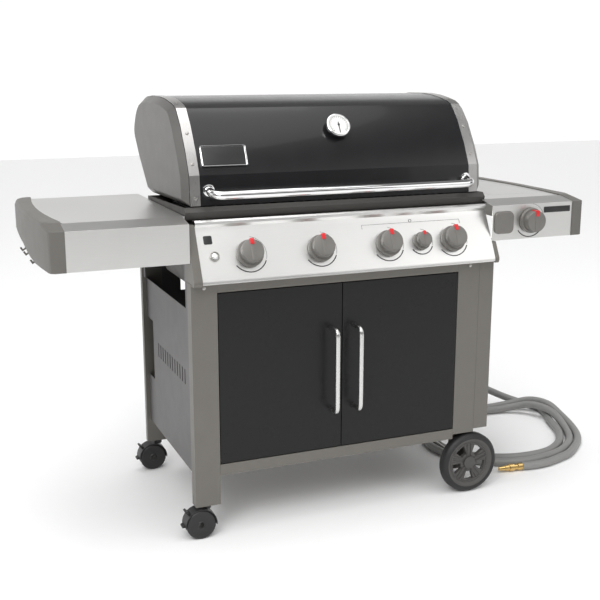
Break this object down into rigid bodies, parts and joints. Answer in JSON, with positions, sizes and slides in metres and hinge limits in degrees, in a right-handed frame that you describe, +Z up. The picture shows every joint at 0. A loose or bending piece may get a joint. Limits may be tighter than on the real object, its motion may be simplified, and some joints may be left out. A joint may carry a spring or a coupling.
{
  "type": "gas barbecue grill",
  "caption": "Gas barbecue grill on a wheeled two-door cabinet, with a hinged lid, side tables, a flush side burner and a gas hose.",
  "frame": {"origin": "on the floor, under the middle of the grill's box without the hose", "axes": "+X from the left table to the right one, +Y from the doors to the back, +Z up"},
  "size_m": [1.951, 0.7367, 1.2215],
  "materials": {
    "frame_paint": "satin warm grey powder coat",
    "side_paint": "satin dark grey powder coat",
    "door_paint": "satin black",
    "brushed_steel": "brushed",
    "chrome": "polished",
    "black_enamel": "gloss black enamel",
    "grey_casting": "satin grey over cast aluminium",
    "cookbox_casting": "sooted casting",
    "warm_grey_plastic": "satin warm grey",
    "black_plastic": "satin black",
    "cast_iron": "matt",
    "brass": "machined",
    "grey_rubber": "matt grey",
    "dial": "polished rim, printed dial"
  },
  "bodies": {
    "cart": {"front_left_leg": "frame_paint", "rear_left_leg": "frame_paint", "front_right_leg": "frame_paint", "rear_right_leg": "frame_paint", "front_top_rail": "frame_paint", "bottom_shelf": "frame_paint", "back_panel": "side_paint", "left_side_panel": "side_paint", "right_side_panel": "frame_paint", "left_side_frame": "side_paint", "right_side_frame": "side_paint", "wheel_axle": "brushed_steel", "cookbox": "cookbox_casting", "main_burner_1": "brushed_steel", "main_burner_2": "brushed_steel", "main_burner_3": "brushed_steel", "main_burner_4": "brushed_steel", "sear_burner": "brushed_steel", "heat_bars": "brushed_steel", "cooking_grate_left": "cast_iron", "cooking_grate_right": "cast_iron", "control_panel": "brushed_steel", "panel_cap_left": "frame_paint", "gas_manifold": "brass", "left_table": "brushed_steel", "right_table": "brushed_steel", "left_table_cap": "warm_grey_plastic", "right_table_cap": "warm_grey_plastic", "side_burner": "brushed_steel", "side_burner_grate": "cast_iron", "gas_hose": "grey_rubber", "hose_fitting": "brass"},
    "lid": {"lid_shell": "black_enamel", "lid_cap_left": "grey_casting", "lid_cap_right": "grey_casting", "lid_trim_left": "brushed_steel", "lid_trim_right": "brushed_steel", "lid_handle": "chrome", "thermometer": "dial"},
    "thermometer_needle": {"thermometer_needle": "grey_casting"},
    "left_door": {"left_door": "door_paint", "left_door_handle": "chrome"},
    "right_door": {"right_door": "door_paint", "right_door_handle": "chrome"},
    "burner_knob_1": {"burner_knob_1": "warm_grey_plastic"},
    "burner_knob_2": {"burner_knob_2": "warm_grey_plastic"},
    "burner_knob_3": {"burner_knob_3": "warm_grey_plastic"},
    "burner_knob_4": {"burner_knob_4": "warm_grey_plastic"},
    "sear_knob": {"sear_knob": "warm_grey_plastic"},
    "side_burner_knob": {"side_burner_knob": "warm_grey_plastic"},
    "igniter_button": {"igniter_button": "black_plastic"},
    "side_igniter_button": {"side_igniter_button": "warm_grey_plastic"},
    "side_burner_lid": {"side_burner_lid": "brushed_steel"},
    "grease_tray": {"grease_tray": "brushed_steel"},
    "front_caster": {"front_caster_fork": "black_plastic"},
    "front_caster_wheel": {"front_caster_wheel": "black_plastic"},
    "rear_caster": {"rear_caster_fork": "black_plastic"},
    "rear_caster_wheel": {"rear_caster_wheel": "black_plastic"},
    "front_wheel": {"front_wheel": "black_plastic"},
    "rear_wheel": {"rear_wheel": "black_plastic"}
  },
  "joints": [
    {"name": "lid_hinge", "type": "hinge", "parent": "cart", "child": "lid", "pos_m": [0, 0.19415, 0.925], "axis": [-1, 0, 0], "range_deg": [0, 80]},
    {"name": "left_door_hinge", "type": "hinge", "parent": "cart", "child": "left_door", "pos_m": [-0.3601, -0.27985, 0.45], "axis": [0, 0, -1], "range_deg": [0, 110]},
    {"name": "right_door_hinge", "type": "hinge", "parent": "cart", "child": "right_door", "pos_m": [0.367, -0.27985, 0.45], "axis": [0, 0, 1], "range_deg": [0, 110]},
    {"name": "burner_knob_1_turn", "type": "hinge", "parent": "cart", "child": "burner_knob_1", "pos_m": [-0.2803, -0.28838, 0.81], "axis": [0, -0.8943, 0.4475], "range_deg": [0, 130]},
    {"name": "burner_knob_2_turn", "type": "hinge", "parent": "cart", "child": "burner_knob_2", "pos_m": [-0.0713, -0.28838, 0.81], "axis": [0, -0.8943, 0.4475], "range_deg": [0, 130]},
    {"name": "burner_knob_3_turn", "type": "hinge", "parent": "cart", "child": "burner_knob_3", "pos_m": [0.1397, -0.28838, 0.81], "axis": [0, -0.8943, 0.4475], "range_deg": [0, 130]},
    {"name": "burner_knob_4_turn", "type": "hinge", "parent": "cart", "child": "burner_knob_4", "pos_m": [0.3506, -0.28838, 0.81], "axis": [0, -0.8943, 0.4475], "range_deg": [0, 130]},
    {"name": "sear_knob_turn", "type": "hinge", "parent": "cart", "child": "sear_knob", "pos_m": [0.247, -0.28838, 0.81], "axis": [0, -0.8943, 0.4475], "range_deg": [0, 130]},
    {"name": "side_burner_knob_turn", "type": "hinge", "parent": "cart", "child": "side_burner_knob", "pos_m": [0.618, -0.29255, 0.852], "axis": [0, -1, 0], "range_deg": [0, 130]},
    {"name": "igniter_button_push", "type": "slide", "parent": "cart", "child": "igniter_button", "axis": [0, 0.8943, -0.4475], "range_m": [0, 0.003], "stiffness_N_per_m": 300},
    {"name": "side_igniter_button_push", "type": "slide", "parent": "cart", "child": "side_igniter_button", "axis": [0, 1, 0], "range_m": [0, 0.004], "stiffness_N_per_m": 300},
    {"name": "side_burner_lid_hinge", "type": "hinge", "parent": "cart", "child": "side_burner_lid", "pos_m": [0.667, 0.17695, 0.9129], "axis": [-1, 0, 0], "range_deg": [0, 95]},
    {"name": "grease_tray_slide", "type": "slide", "parent": "cart", "child": "grease_tray", "axis": [0, 1, 0], "range_m": [0, 0.2]},
    {"name": "front_caster_swivel", "type": "hinge", "parent": "cart", "child": "front_caster", "pos_m": [-0.40915, -0.26795, 0.0963], "axis": [0, 0, 1], "continuous": true},
    {"name": "front_caster_roll", "type": "hinge", "parent": "front_caster", "child": "front_caster_wheel", "pos_m": [-0.43115, -0.26795, 0.0427], "axis": [0, 1, 0], "continuous": true},
    {"name": "rear_caster_swivel", "type": "hinge", "parent": "cart", "child": "rear_caster", "pos_m": [-0.40915, 0.27895, 0.0963], "axis": [0, 0, 1], "continuous": true},
    {"name": "rear_caster_roll", "type": "hinge", "parent": "rear_caster", "child": "rear_caster_wheel", "pos_m": [-0.43115, 0.27895, 0.0427], "axis": [0, 1, 0], "continuous": true},
    {"name": "front_wheel_roll", "type": "hinge", "parent": "cart", "child": "front_wheel", "pos_m": [0.4427, -0.27585, 0.0958], "axis": [0, 1, 0], "continuous": true},
    {"name": "rear_wheel_roll", "type": "hinge", "parent": "cart", "child": "rear_wheel", "pos_m": [0.4427, 0.28915, 0.0958], "axis": [0, 1, 0], "continuous": true},
    {"name": "thermometer_turn", "type": "hinge", "parent": "lid", "child": "thermometer_needle", "pos_m": [0.038, -0.16589, 1.14284], "axis": [0, 0.8427, -0.5384], "range_deg": [0, 270]}
  ]
}
